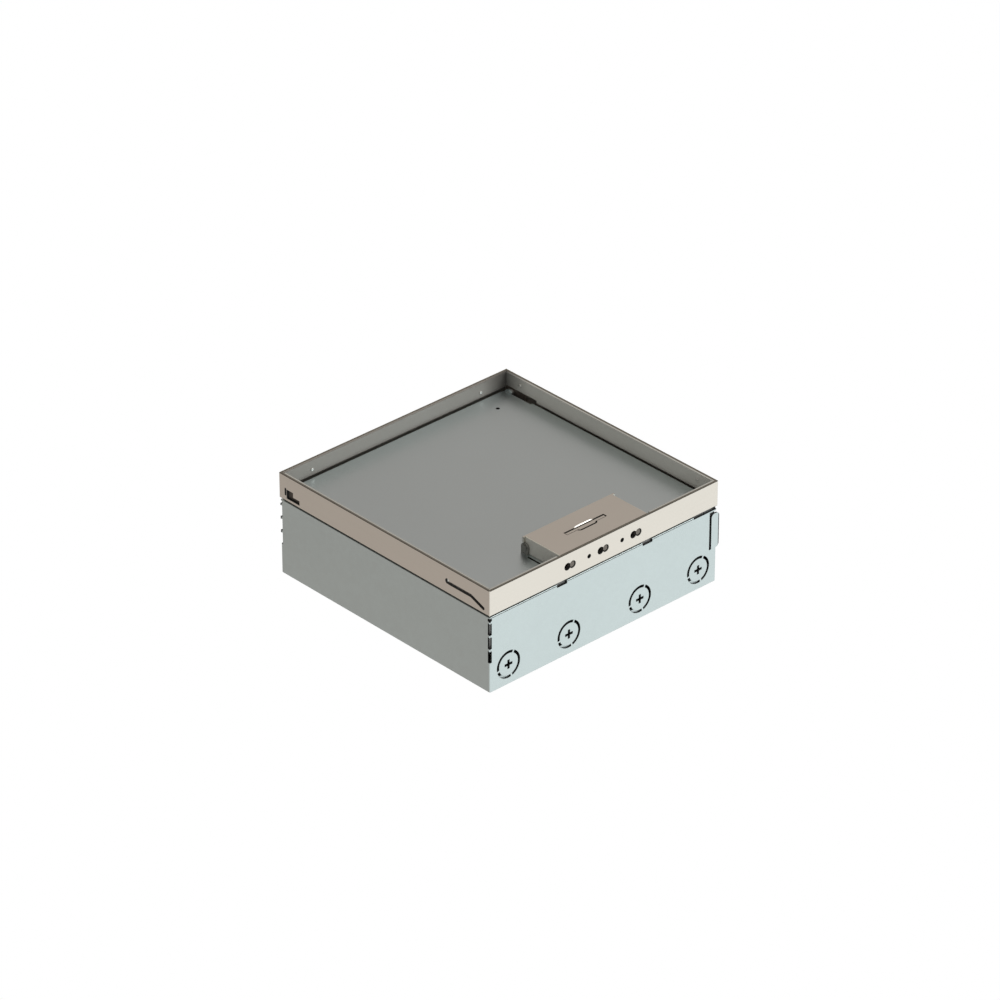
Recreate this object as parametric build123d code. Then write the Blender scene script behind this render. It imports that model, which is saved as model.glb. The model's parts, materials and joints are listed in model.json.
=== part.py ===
# Floor socket box with a hinged, deep-set lid for a floor covering and a cord outlet at its front edge.
# Millimetres. The origin is at the middle of the base, +Z is up, the cord outlet is on the -Y side.
import os

from build123d import *

# Outside
plan = 256.0
height = 96.0

# Frame: square band of stainless sheet
frame_depth = 23.6
frame_sheet = 2.0
frame_corner_r = 0.8

# Trim strips on the inside of the frame
trim_sheet = 1.8
trim_depth = 14.2
side_trim_depth = 15.1
trim_set = 0.2
trim_seam = 0.3
rivet_r = 1.5
rivet_high = 0.7
rivet_drop = 9.0
rivet_from_corner = 33.0
side_rivet_drop = 6.6
side_rivet_from_corner = 21.0

# Lid plate and its two hinges
lid_recess = 15.0
lid_sheet = 2.0
lid_gap = 2.8
hinge_from_back = 11.6
hinge_rise = 0.4
hinge_pin_r = 2.5
hinge_eye_r = 4.0
hinge_shoulder = 1.0
hinge_shoulder_long = 1.2
hinge_pin_short = 0.1
hinge_notch_deep = 2.3
hinge_notch_long = 33.0
running = 0.05
drain_r = 1.7
drain_from_side = 34.1
drain_from_back = 26.1

# Casing
casing_inset = 0.5
casing_sheet = 1.5
bend_r = 1.2
least_r = 0.3
casing_seam = 0.3
frame_seam = 2.0
base_sheet = 1.5
base_flange = 10.0
fixing_from_side = 33.0
fixing_r = 3.25

# Slotted bends at the two left corners of the casing
bend_slot_wide = 3.0
bend_slot_long = 10.9
bend_slot_pitch = 13.1
bend_slot_count = 3
bend_slot_drop = 5.6
bend_relief_r = 1.7
bend_relief_drop = 2.4

# Anchor tongues past the two right corners of the casing
tongue_past = 2.9
tongue_back = 5.8
tongue_low = 32.3
tongue_long = 33.2
tongue_slot = 2.4
tongue_corner_r = 3.5

# Notches in the top edge of the casing
edge_notch_wide = 11.0
edge_notch_deep = 2.4
edge_notch_pitch = 96.0
edge_step_long = 26.4
edge_step_deep = 1.3

# Knock-outs for 25 mm conduit
knock_d = 25.5
knock_slot = 2.4
knock_bridge = 1.7
knock_bridge_angles = (63, -74, 195)
knock_high = 18.5
knock_from_corner = 21.0
knock_inner = 40.0
knock_cross_wide = 8.5
knock_cross_arm = 2.4

# Collar, ledge and seal under the frame
collar_sheet = 1.5
collar_play = 0.5
collar_lap = 30.4
ledge_wide = 14.0
ledge_back_wide = 23.0
ledge_sheet = 1.5
ledge_corner_r = 3.0
seal_wide = 5.5
seal_inset = 1.0

# Levelling screws and what they turn in
level_r = 4.0
level_chamfer = 0.6
level_from_side = 22.0
level_from_back = 38.0
level_below_lid = 3.0
level_hex = 4.6
level_hex_deep = 4.0
lug_wide = 18.0
lug_sheet = 2.5
lug_corner_r = 6.0
nut_flats = 13.0
nut_high = 6.5
cup_r = 8.0
cup_high = 5.0
cup_floor = 1.5
tip_gap = 0.2

# Z slot in the left side of the frame, and the lid stay that it guides
slot_wide = 2.4
slot_end_r = 2.0
slot_play = 0.1
slot_closed_from_front = 7.7
slot_closed_drop = 19.1
slot_knee_from_front = 22.0
slot_level_drop = 13.7
slot_open_from_front = 50.2
slot_open_drop = 12.7
slot_trim_gap = 1.0
stay_drop = 2.6
stay_sheet = 1.4
stay_wide = 4.0
stay_eye_r = 2.6
stay_pin_r = 1.5
stay_head = 0.7
stay_head_gap = 0.1
stay_wall_gap = 0.9
stay_pin_gap = 0.3
stay_ear_sheet = 1.5
stay_ear_long = 14.0

# Hinge windows in the sides of the frame
window_top_drop = 13.0
window_low_drop = 20.8
window_step_drop = 17.4
window_front_from_back = 25.0
window_step_from_back = 17.0
window_rear_from_back = 9.7
window_slit_from_back = 7.9
window_slit_wide = 1.2
window_slit_past = 1.0
window_trim_gap = 0.3
notch_trim_gap = 2.0
bearing_past = 1.0
bearing_skin = 0.6

# Cord flap: top plate, two cheeks and a short rear wall
flap_wide = 98.0
flap_deep = 42.4
flap_sheet = 2.0
flap_front_gap = 0.3
flap_floor_gap = 0.3
flap_rear_wall = 11.5
flap_wall_clear = 1.0
flap_tab_gap = 0.3
flap_pivot_from_back = 2.7
flap_pivot_drop = 9.3
flap_round_r = 5.3
flap_pin_r = 1.5
flap_head_r = 2.6
flap_head = 0.8
flap_side_gap = 0.3
ear_sheet = 1.7
ear_r = 4.0

# Pull handle, flush in the cord flap
bar_wide = 2.4
bar_left = -22.5
bar_right = 20.4
bar_thick = 2.0
bar_from_front = 22.95
bar_gap = 0.3
bar_slit = 1.7
bar_end_slit = 1.4
handle_deep = 12.0
handle_leg = 2.5
handle_foot = 2.0
handle_foot_thick = 2.0
finger_long = 22.4
finger_wide = 7.4
finger_x = -0.6
finger_from_front = 22.7
finger_lip = 0.7
tab_gap = 1.4

# Cord way through the lid plate, and the slits beside the flap
way_side_gap = 1.0
way_long = 25.4
guard_wall = 1.2
guard_high = 2.2
guard_proud = 0.2
slit_wide = 1.7
slit_long = 19.4
slit_from_flap = 2.8
slit_from_front = 14.0

# Bracket behind the front of the frame, hung in keyholes
key_r = 3.0
key_pitch = 36.9
key_shift = 5.7
key_drop = 12.2
stud_r = 2.4
stud_set = 0.6
small_hole_r = 1.6
small_hole_pitch = 37.0
bracket_side_gap = 3.5
bracket_sheet = 1.5
bracket_drop = 3.0
lip_thick = 3.0
lip_high = 6.0
lip_drop = 0.2

# Lid stiffeners
rib_pitch = 60.0
rib_wide = 16.0
rib_flange = 5.0
rib_deep = 7.0
rib_sheet = 1.2
rib_from_way = 8.0
rib_from_ledge = 5.0

# Device carrier and the modules in it
module_count = 4
module = 45.0
module_pitch = 46.0
module_play = 0.3
module_corner_r = 1.5
carrier_side = 10.0
carrier_deep = 60.0
carrier_from_back = 48.0
carrier_top = 38.0
carrier_sheet = 1.5
carrier_foot = 8.0
carrier_screw_r = 2.0
carrier_screw_play = 0.2
carrier_head_r = 3.6
carrier_head = 2.2
carrier_screw_pitch = 40.0
flange_thick = 2.0
housing = 42.4
housing_deep = 28.0
housing_corner_r = 2.0
recess_r = 19.5
recess_deep = 17.0
recess_floor = 2.0
contact_spacing = 19.0
contact_hole_r = 2.6
sleeve = 6.0
sleeve_wall = 0.5
sleeve_long = 9.0
sleeve_play = 0.1
clip_wide = 6.0
clip_thick = 1.0
clip_high = 14.0
clip_off = 17.6
port_wide = 12.0
port_high = 14.0
port_pitch = 18.0
port_deep = 18.0

# Cable relief and earth stud on the base
rail_long = 120.0
rail_wide = 12.0
rail_high = 6.0
rail_sheet = 1.2
rail_from_carrier = 45.0
clamp_pitch = 36.0
clamp_r = 5.0
clamp_sheet = 1.5
clamp_wide = 10.0
clamp_foot = 8.0
clamp_head_r = 2.8
clamp_head = 2.0
earth_from_side = 43.0
earth_from_front = 68.0
earth_r = 3.0
earth_long = 16.0
earth_nut_flats = 10.0
earth_nut_high = 5.0
earth_washer_r = 6.0
earth_washer = 1.2

# Faces that follow from the sizes above
half = plan / 2
frame_in = half - frame_sheet
frame_bottom = height - frame_depth
trim_in = frame_in - trim_sheet
trim_top = height - trim_set
trim_bottom = trim_top - trim_depth
side_trim_bottom = trim_top - side_trim_depth
relief_top = height - window_top_drop + window_trim_gap
lid_top = height - lid_recess
lid_bottom = lid_top - lid_sheet
lid_half = trim_in - lid_gap
hinge_y = half - hinge_from_back
hinge_z = lid_bottom + hinge_rise
tab_in = lid_half - hinge_notch_deep
tab_out = tab_in + lid_sheet
tab_front = lid_half - hinge_notch_long
casing_half = half - casing_inset
casing_in = casing_half - casing_sheet
casing_top = frame_bottom - frame_seam
collar_half = casing_in - collar_play
collar_in = collar_half - collar_sheet
collar_bottom = casing_top - collar_lap
ledge_top = frame_bottom + ledge_sheet
ledge_in = frame_in - ledge_wide
ledge_back_in = frame_in - ledge_back_wide
level_x = half - level_from_side
level_rear = half - level_from_back
level_places = [(-level_x, -level_x), (level_x, -level_x), (level_x, level_rear), (-level_x, level_rear)]
level_top = lid_bottom - level_below_lid
cup_top = base_sheet + cup_high
arm_out = trim_in - stay_wall_gap
arm_in = arm_out - stay_sheet
stay_pin_out = trim_in - stay_pin_gap
flap_half = flap_wide / 2
flap_front = frame_in - flap_front_gap
flap_rear = flap_deep - flap_front
flap_y = flap_rear - flap_pivot_from_back
flap_z = height - flap_pivot_drop
flap_inner = flap_half - flap_sheet
ear_in = flap_half + flap_side_gap
ear_out = ear_in + ear_sheet
bar_y = bar_from_front - half
finger_y = finger_from_front - half
way_half = flap_inner - way_side_gap
way_rear = way_long - lid_half
bracket_half = flap_inner - bracket_side_gap
bracket_in = frame_in - bracket_sheet
bracket_top = height - bracket_drop
key_z = height - key_drop
key_places = (-key_pitch, 0.0, key_pitch)
carrier_half = (module_count * module_pitch) / 2 + carrier_side
carrier_y = half - carrier_from_back - carrier_deep / 2
module_places = [(step - (module_count - 1) / 2) * module_pitch for step in range(module_count)]
module_top = carrier_top + flange_thick
recess_bottom = module_top - recess_deep
sleeve_top = recess_bottom - recess_floor
rail_y = carrier_y - carrier_deep / 2 - rail_from_carrier
rail_top = base_sheet + rail_high
clamp_places = (-clamp_pitch, 0.0, clamp_pitch)

# Places of the end of the stay: in the lower front end of the Z slot when the lid is shut, in the rear end
# when it is open. The pivot on the lid lies where both give the stay the same length.
closed_y = slot_closed_from_front - half
closed_z = height - slot_closed_drop
open_y = slot_open_from_front - half
open_z = height - slot_open_drop
shut_run = hinge_y - closed_y
shut_rise = hinge_z - stay_drop - closed_z
open_run = hinge_y - stay_drop - open_y
open_rise = hinge_z - open_z
stay_back = (shut_run**2 + shut_rise**2 - open_run**2 - open_rise**2) / (2 * (shut_run + open_rise))
stay_y = hinge_y - stay_back
stay_z = hinge_z - stay_drop

# Faces that outlines are drawn on, and how far a cutter runs through or past a sheet
front_face = Plane(origin=(0, -half, 0), x_dir=(1, 0, 0), z_dir=(0, -1, 0))
rear_face = Plane(origin=(0, half, 0), x_dir=(-1, 0, 0), z_dir=(0, 1, 0))
left_face = Plane(origin=(-half, 0, 0), x_dir=(0, -1, 0), z_dir=(-1, 0, 0))
through = 6.0
past = 1.0


def slab(x0, x1, y0, y1, z0, z1):
    """Flat bar or block between two corners."""
    low = (Align.MIN, Align.MIN, Align.MIN)
    return Pos(x0, y0, z0) * Box(x1 - x0, y1 - y0, z1 - z0, align=low)


def post(radius, x, y, z0, z1):
    """Upright round bar."""
    foot = (Align.CENTER, Align.CENTER, Align.MIN)
    return Pos(x, y, z0) * Cylinder(radius, z1 - z0, align=foot)


def cross_bar(radius, x0, x1, y, z):
    """Round bar along X."""
    return Pos(x0, y, z) * Rot(0, 90, 0) * post(radius, 0, 0, 0, x1 - x0)


def side_sheet(profile, x0, x1):
    """Sheet that stands across X, from a profile drawn in Y and Z."""
    plane = Plane(origin=(x0, 0, 0), x_dir=(0, 1, 0), z_dir=(1, 0, 0))
    return extrude(plane * profile, x1 - x0)


def square_tube(outer_half, wall, corner, z0, z1):
    """Square ring with rounded corners."""
    inner_half = outer_half - wall
    outer = RectangleRounded(2 * outer_half, 2 * outer_half, corner)
    inner = RectangleRounded(2 * inner_half, 2 * inner_half, max(corner - wall, least_r))
    return Pos(0, 0, z0) * extrude(outer - inner, z1 - z0)


def hexagon(flats):
    """Hexagon by its width over flats."""
    return RegularPolygon(flats / 2, 6, major_radius=False)


def both_sides(piece):
    """A piece and its mirror image across the middle of the box."""
    return Compound([piece, mirror(piece, Plane.YZ)])


# Casing

def knockout():
    """Slots that leave a conduit disc on three bridges, with a cross cut for the screwdriver."""
    ring = Circle(knock_d / 2) - Circle(knock_d / 2 - knock_slot)
    for angle in knock_bridge_angles:
        ring -= Rot(0, 0, angle) * Pos(knock_d / 2, 0) * Rectangle(3 * knock_slot, knock_bridge)
    cross = Rectangle(knock_cross_wide, knock_cross_arm) + Rectangle(knock_cross_arm, knock_cross_wide)
    return ring + cross


def cut_knockouts(walls, face):
    """Row of knock-outs through one wall."""
    outer = half - knock_from_corner
    for place in (-outer, -knock_inner, knock_inner, outer):
        walls -= extrude(face * Pos(place, knock_high) * knockout(), through, both=True)
    return walls


def cut_slotted_bend(walls, side):
    """Slots and a round relief across a left corner, with sharp bridges between the slots."""
    corner = Pos(-casing_half, side * casing_half, 0) * Rot(0, 0, -45 * side)
    slot_top = casing_top - bend_slot_drop
    across = 4 * casing_sheet + 2 * bend_r
    for step in range(bend_slot_count):
        middle = slot_top - bend_slot_long / 2 - step * bend_slot_pitch
        walls -= corner * Pos(0, 0, middle) * Box(across, bend_slot_wide, bend_slot_long)
        nib = Box(bend_r, bend_r, bend_slot_pitch - bend_slot_long)
        walls += corner * Pos(bend_r / 2, 0, middle + bend_slot_pitch / 2) * nib
    relief = corner * Pos(0, 0, casing_top - bend_relief_drop) * Rot(0, 90, 0)
    return walls - relief * Cylinder(bend_relief_r, across)


def cut_tongue(walls, side):
    """Flat tongue of the front or rear wall that runs on past the bend at the right corner."""
    face = side * casing_half
    root = casing_half - tongue_back
    tongue_top = tongue_low + tongue_long
    near, far = sorted((face + side * past, face - side * tongue_past))
    gap_top = tongue_top + tongue_slot
    walls -= slab(root - tongue_slot, casing_half + past, near, far, tongue_low, gap_top)
    tongue_wide = tongue_back + tongue_past
    middle = Pos(tongue_wide / 2, tongue_long / 2)
    outline = middle * RectangleRounded(tongue_wide, tongue_long, tongue_corner_r)
    outline += Pos(tongue_back / 2, tongue_corner_r / 2) * Rectangle(tongue_back, tongue_corner_r)
    plane = Plane(origin=(root, face, tongue_low), x_dir=(1, 0, 0), z_dir=(0, -1, 0))
    return walls + extrude(plane * outline, casing_sheet * side)


def casing_walls():
    """One galvanised strip folded round three corners and butted near the fourth."""
    walls = square_tube(casing_half, casing_sheet, bend_r, 0, casing_top)
    walls = cut_knockouts(walls, front_face)
    walls = cut_knockouts(walls, rear_face)
    notch = Box(edge_notch_wide, through, 2 * edge_notch_deep)
    for side in (-1, 1):
        walls = cut_slotted_bend(walls, side)
        walls = cut_tongue(walls, side)
        for place in (-edge_notch_pitch / 2, edge_notch_pitch / 2):
            walls -= Pos(place, side * casing_half, casing_top) * notch
        near, far = sorted((side * (casing_in - least_r), side * (casing_half + past)))
        step_x = casing_half - edge_step_long
        step_low = casing_top - edge_step_deep
        walls -= slab(step_x, casing_half + past, near, far, step_low, casing_top + past)
    seam_rear = casing_half - tongue_past - bend_r - tongue_slot
    seam_front = seam_rear - casing_seam
    return walls - slab(casing_in - past, casing_half + past, seam_front, seam_rear, -past, casing_top + past)


def base_plate():
    """Base with its edges turned up against the walls."""
    plate = extrude(RectangleRounded(2 * casing_in, 2 * casing_in, bend_r), base_sheet)
    rim = square_tube(casing_in, base_sheet, bend_r, 0, base_flange)
    place = half - fixing_from_side
    holes = [post(fixing_r, x, y, -past, base_sheet + past) for x in (-place, place) for y in (-place, place)]
    return plate + rim - holes


def levelling_cups():
    """Plastic cups on the base that the levelling screws stand in."""
    cup = post(cup_r, 0, 0, base_sheet, cup_top)
    cup -= post(level_r + tip_gap, 0, 0, base_sheet + cup_floor, cup_top + past)
    return Compound([Pos(x, y, 0) * cup for x, y in level_places])


def levelling_screw(x, y):
    """Threaded rod with a hexagon socket at its top."""
    rod = post(level_r, x, y, base_sheet + cup_floor + tip_gap, level_top)
    rod = chamfer(rod.edges().sort_by(Axis.Z)[0], level_chamfer)
    return rod - Pos(x, y, level_top) * extrude(hexagon(level_hex), -level_hex_deep)


# Frame and what is fixed to it

def z_slot(margin=0.0):
    """Outline of the slot that guides the end of the stay, on the left face."""
    level_z = height - slot_level_drop
    knee = (half - slot_knee_from_front, level_z)
    level = (slot_end_r - open_y, level_z)
    path = Polyline((-closed_y, closed_z), knee, level, (-open_y, open_z))
    outline = trace(path, slot_wide + 2 * margin)
    outline += Pos(-closed_y, closed_z) * Circle(slot_wide / 2 + margin)
    return outline + Pos(-open_y, open_z) * Circle(slot_end_r + margin)


def hinge_window():
    """Outline of the hinge window, drawn in Y and Z: a stepped opening and a slit behind it."""
    top = height - window_top_drop
    low = height - window_low_drop
    step = height - window_step_drop
    rear = half - window_rear_from_back
    front = half - window_front_from_back
    middle = half - window_step_from_back
    corners = [(front, low), (rear, low), (rear, top), (middle, top), (middle, step), (front, step)]
    opening = make_face(Polyline(corners, close=True))
    slit_long = top - step + 2 * window_slit_past
    slit = Rot(0, 0, 90) * SlotOverall(slit_long, window_slit_wide)
    return opening + Pos(half - window_slit_from_back, (top + step) / 2) * slit


def frame_band():
    """Stainless band with its keyholes, Z slot and hinge windows."""
    outline = RectangleRounded(plan, plan, frame_corner_r) - Rectangle(2 * frame_in, 2 * frame_in)
    band = Pos(0, 0, frame_bottom) * extrude(outline, frame_depth)
    for place in key_places:
        key = Pos(place, key_z) * Circle(key_r) + Pos(place - key_shift, key_z) * Circle(key_r)
        key += Pos(place - key_shift / 2, key_z) * Rectangle(key_shift, key_r)
        band -= extrude(front_face * key, through, both=True)
    band -= small_holes()
    band -= extrude(left_face * z_slot(), through, both=True)
    window = side_sheet(hinge_window(), frame_in - past, half + past)
    return band - window - mirror(window, Plane.YZ)


def small_holes():
    """The two small holes between the keyholes."""
    hole = Circle(small_hole_r)
    places = (-small_hole_pitch / 2, small_hole_pitch / 2)
    return [extrude(front_face * Pos(place, key_z) * hole, through, both=True) for place in places]


def rear_trim():
    """Strip along the back, from side to side."""
    return slab(-frame_in, frame_in, trim_in, frame_in, trim_bottom, trim_top)


def side_trim():
    """Strip along the right side, butted against the rear strip, cut up over the hinge window."""
    end = trim_in - trim_seam
    strip = slab(trim_in, frame_in, -end, end, side_trim_bottom, trim_top)
    relief_front = tab_front - notch_trim_gap
    relief_low = side_trim_bottom - past
    relief = slab(trim_in - past, frame_in + past, relief_front, frame_in, relief_low, relief_top)
    return strip - relief


def left_trim():
    """Left strip, open where the Z slot passes behind it."""
    return mirror(side_trim(), Plane.YZ) - extrude(left_face * z_slot(slot_trim_gap), through, both=True)


def front_trim():
    """Short strip between the right corner and the cord outlet."""
    return slab(ear_out + 2 * trim_seam, frame_in, -frame_in, -trim_in, trim_bottom, trim_top)


def trim_rivets():
    """Rivet heads on the inner faces of the strips."""
    head = post(rivet_r, 0, 0, 0, rivet_high)
    z = height - rivet_drop
    place = half - rivet_from_corner
    side_z = height - side_rivet_drop
    side_place = half - side_rivet_from_corner
    heads = [Pos(x, trim_in, z) * Rot(90, 0, 0) * head for x in (-place, place)]
    heads += [Pos(x, -trim_in, z) * Rot(-90, 0, 0) * head for x in (-place, place)]
    for y in (-side_place, side_place):
        heads += [Pos(trim_in, y, side_z) * Rot(0, -90, 0) * head]
        heads += [Pos(-trim_in, y, side_z) * Rot(0, 90, 0) * head]
    return Compound(heads)


def lid_ledge():
    """Flat ledge welded inside the frame, wider at the back under the hinge."""
    outer = Rectangle(2 * frame_in, 2 * frame_in)
    middle = (ledge_back_in - ledge_in) / 2
    mouth = Pos(0, middle) * RectangleRounded(2 * ledge_in, ledge_in + ledge_back_in, ledge_corner_r)
    return Pos(0, 0, frame_bottom) * extrude(outer - mouth, ledge_sheet)


def lid_seal():
    """Foam seal on the ledge, under the lid plate."""
    side = ledge_in + seal_inset
    back = ledge_back_in + seal_inset
    inner = RectangleRounded(2 * side, side + back, ledge_corner_r)
    outer_r = ledge_corner_r + seal_wide
    outer = RectangleRounded(2 * (side + seal_wide), side + back + 2 * seal_wide, outer_r)
    return Pos(0, (back - side) / 2, ledge_top) * extrude(outer - inner, lid_bottom - ledge_top)


def collar():
    """Galvanised skirt that slides inside the casing."""
    return square_tube(collar_half, collar_sheet, bend_r, collar_bottom, frame_bottom)


def levelling_lugs():
    """Lugs welded to the foot of the collar, one for each levelling screw."""
    inner = level_x - lug_wide / 2
    blank = Pos((inner + collar_in) / 2, 0) * Rectangle(collar_in - inner, lug_wide)
    blank = fillet(blank.vertices().sort_by(Axis.X)[:2], lug_corner_r)
    lug = extrude(blank - Pos(level_x, 0) * Circle(level_r + running), lug_sheet)
    turned = Rot(0, 0, 180) * lug
    return Compound([Pos(0, y, collar_bottom) * (lug if x > 0 else turned) for x, y in level_places])


def levelling_nuts():
    """Weld nuts on the lugs."""
    low = collar_bottom + lug_sheet
    nut = extrude(hexagon(nut_flats) - Circle(level_r + running), nut_high)
    return Compound([Pos(x, y, low) * nut for x, y in level_places])


def hinge_bearing():
    """Bearing plate that closes the right hinge window from inside, with a blind bore for the hinge pin."""
    front = half - window_front_from_back - bearing_past
    plate = slab(trim_in, frame_in, front, trim_in, ledge_top, relief_top)
    return plate - cross_bar(hinge_pin_r + running, trim_in - past, frame_in - bearing_skin, hinge_y, hinge_z)


def outlet_bracket():
    """Plate behind the keyholes, standing on the ledge."""
    plate = slab(-bracket_half, bracket_half, -frame_in, -bracket_in, ledge_top, bracket_top)
    for place in key_places:
        plate -= extrude(front_face * Pos(place - key_shift, key_z) * Circle(key_r), through, both=True)
    return plate - small_holes()


def outlet_studs():
    """Studs of the bracket, hooked in the keyholes."""
    stud = Rot(90, 0, 0) * post(stud_r, 0, 0, 0, frame_sheet - stud_set)
    return Compound([Pos(place, -frame_in, key_z) * stud for place in key_places])


def outlet_lip():
    """Rubber lip that the cords press against."""
    top = bracket_top - lip_drop
    return slab(-bracket_half, bracket_half, -bracket_in, lip_thick - bracket_in, top - lip_high, top)


# Lid and what is fixed to it

def lid_plate():
    """Plate for the floor covering, with the hinge eyes at its rear corners and the cord way at its front."""
    outline = Rectangle(2 * lid_half, 2 * lid_half)
    notch = Rectangle(2 * hinge_notch_deep, 2 * hinge_notch_long)
    outline -= Pos(lid_half, lid_half) * notch
    outline -= Pos(-lid_half, lid_half) * notch
    outline -= Pos(0, -lid_half) * Rectangle(2 * way_half, 2 * way_long)
    slit_x = flap_half + slit_from_flap + slit_wide / 2
    slit_y = slit_from_front - flap_front + slit_long / 2
    for x in (-slit_x, slit_x):
        outline -= Pos(x, slit_y) * Rectangle(slit_wide, slit_long)
    outline -= Pos(half - drain_from_side, half - drain_from_back) * Circle(drain_r)
    plate = Pos(0, 0, lid_bottom) * extrude(outline, lid_sheet)
    eye = Pos(hinge_y, hinge_z) * (Circle(hinge_eye_r) - Circle(hinge_pin_r))
    return plate + both_sides(side_sheet(eye, tab_in, tab_out)).solids()


def hinge_pin():
    """Shouldered pin of the right hinge, in the eye of the plate and in its bearing."""
    pin = cross_bar(hinge_pin_r, tab_in, frame_in - bearing_skin - hinge_pin_short, hinge_y, hinge_z)
    shoulder_r = hinge_pin_r + hinge_shoulder
    return pin + cross_bar(shoulder_r, tab_out, tab_out + hinge_shoulder_long, hinge_y, hinge_z)


def lid_stiffeners():
    """Folded hat rails under the plate."""
    top = (Align.CENTER, Align.MAX)
    outline = Rectangle(rib_wide + 2 * rib_flange, rib_sheet, align=top)
    outline += Rectangle(rib_wide, rib_deep, align=top)
    outline -= Rectangle(rib_wide - 2 * rib_sheet, rib_deep - rib_sheet, align=top)
    rear = ledge_back_in - rib_from_ledge
    plane = Plane(origin=(0, rear, lid_bottom), x_dir=(1, 0, 0), z_dir=(0, -1, 0))
    rail = extrude(plane * outline, rear - way_rear - rib_from_way)
    return Compound([Pos(x, 0, 0) * rail for x in (-rib_pitch, 0, rib_pitch)])


def stay_bracket():
    """Ear under the left edge of the plate, with the pivot of the stay."""
    rise = lid_bottom - stay_z
    wide = 2 * stay_eye_r
    eye = Circle(stay_eye_r) & Pos(0, rise - stay_eye_r) * Rectangle(wide, wide)
    profile = Pos(stay_y, stay_z) * (eye + Pos(0, rise / 2) * Rectangle(wide, rise))
    profile += Pos(stay_y, lid_bottom - stay_ear_sheet / 2) * Rectangle(stay_ear_long, stay_ear_sheet)
    return side_sheet(profile, -lid_half, stay_ear_sheet - lid_half)


def stay_pivot():
    """Headed pivot that the stay turns on."""
    pin = cross_bar(stay_pin_r, -stay_pin_out, -lid_half, stay_y, stay_z)
    return pin + cross_bar(stay_pin_r + stay_head, -stay_pin_out, -arm_out - stay_head_gap, stay_y, stay_z)


def flap_ear():
    """Upright ear on the lid plate beside the right cheek of the flap."""
    profile = Pos(flap_y, flap_z) * Circle(ear_r)
    profile += Pos(flap_y, (flap_z + lid_top) / 2) * Rectangle(2 * ear_r, flap_z - lid_top)
    profile -= Pos(flap_y, flap_z) * Circle(flap_pin_r)
    return side_sheet(profile, ear_in, ear_out)


def flap_pin():
    """Rivet that the right side of the flap turns on."""
    pin = cross_bar(flap_pin_r, flap_inner - flap_head, ear_out, flap_y, flap_z)
    return pin + cross_bar(flap_head_r, ear_out, ear_out + flap_head, flap_y, flap_z)


def cord_guard():
    """Plastic edging round the cord way of the lid plate."""
    outer = Rectangle(2 * way_half, way_long)
    inner = Pos(0, -guard_wall / 2) * Rectangle(2 * (way_half - guard_wall), way_long - guard_wall)
    low = lid_top + guard_proud - guard_high
    return Pos(0, way_rear - way_long / 2, low) * extrude(outer - inner, guard_high)


# Stay, flap and handle

def lid_stay():
    """Flat arm from the lid to the Z slot."""
    profile = trace(Line((stay_y, stay_z), (closed_y, closed_z)), stay_wide)
    profile += Pos(stay_y, stay_z) * Circle(stay_eye_r)
    profile += Pos(closed_y, closed_z) * Circle(stay_wide / 2)
    profile -= Pos(stay_y, stay_z) * Circle(stay_pin_r + running)
    return side_sheet(profile, -arm_out, -arm_in)


def stay_end_pin():
    """Stub at the end of the stay that runs in the Z slot."""
    return cross_bar(slot_wide / 2 - slot_play, -stay_pin_out, -arm_out, closed_y, closed_z)


def cord_flap():
    """Folded cap over the cord way: top plate, cheeks, and a short rear wall with a tab at each end."""
    top = slab(-flap_half, flap_half, -flap_front, flap_rear, height - flap_sheet, height)
    low = lid_top + flap_floor_gap
    side = [(-flap_front, low), (flap_y, low), (flap_y, height), (-flap_front, height)]
    tail = [(flap_y, flap_z), (flap_rear, flap_z), (flap_rear, height), (flap_y, height)]
    round_end = Circle(flap_round_r) & Rectangle(2 * flap_pivot_from_back, 4 * flap_round_r)
    cheek = make_face(Polyline(side, close=True)) + make_face(Polyline(tail, close=True))
    cheek += Pos(flap_y, flap_z) * round_end
    cheek -= Pos(flap_y, flap_z) * Circle(flap_pin_r + running)
    cheeks = both_sides(side_sheet(cheek, flap_inner, flap_half))
    wall_half = flap_inner - flap_pin_r - flap_wall_clear
    wall = slab(-wall_half, wall_half, flap_rear - flap_sheet, flap_rear, height - flap_rear_wall, height)
    tab_low = flap_z + ear_r + flap_tab_gap
    wall += slab(-ear_out, ear_out, flap_rear - flap_sheet, flap_rear, tab_low, height)
    slot_front = bar_y - bar_wide / 2 - bar_gap
    slot_rear = bar_y + bar_wide / 2 + bar_slit
    cut_low = height - 2 * flap_sheet
    slot = slab(bar_left - bar_gap, bar_right + bar_end_slit, slot_front, slot_rear, cut_low, height + past)
    finger = Pos(finger_x, finger_y, cut_low) * extrude(SlotOverall(finger_long, finger_wide), 3 * flap_sheet)
    rim = SlotOverall(finger_long + 2 * finger_lip, finger_wide + 2 * finger_lip)
    rim &= Pos(0, finger_long + bar_y - finger_y) * Rectangle(2 * finger_long, 2 * finger_long)
    lip = Pos(finger_x, finger_y, height) * extrude(rim, -finger_lip, taper=45)
    return top + cheeks.solids() + wall - slot - finger - lip


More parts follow.
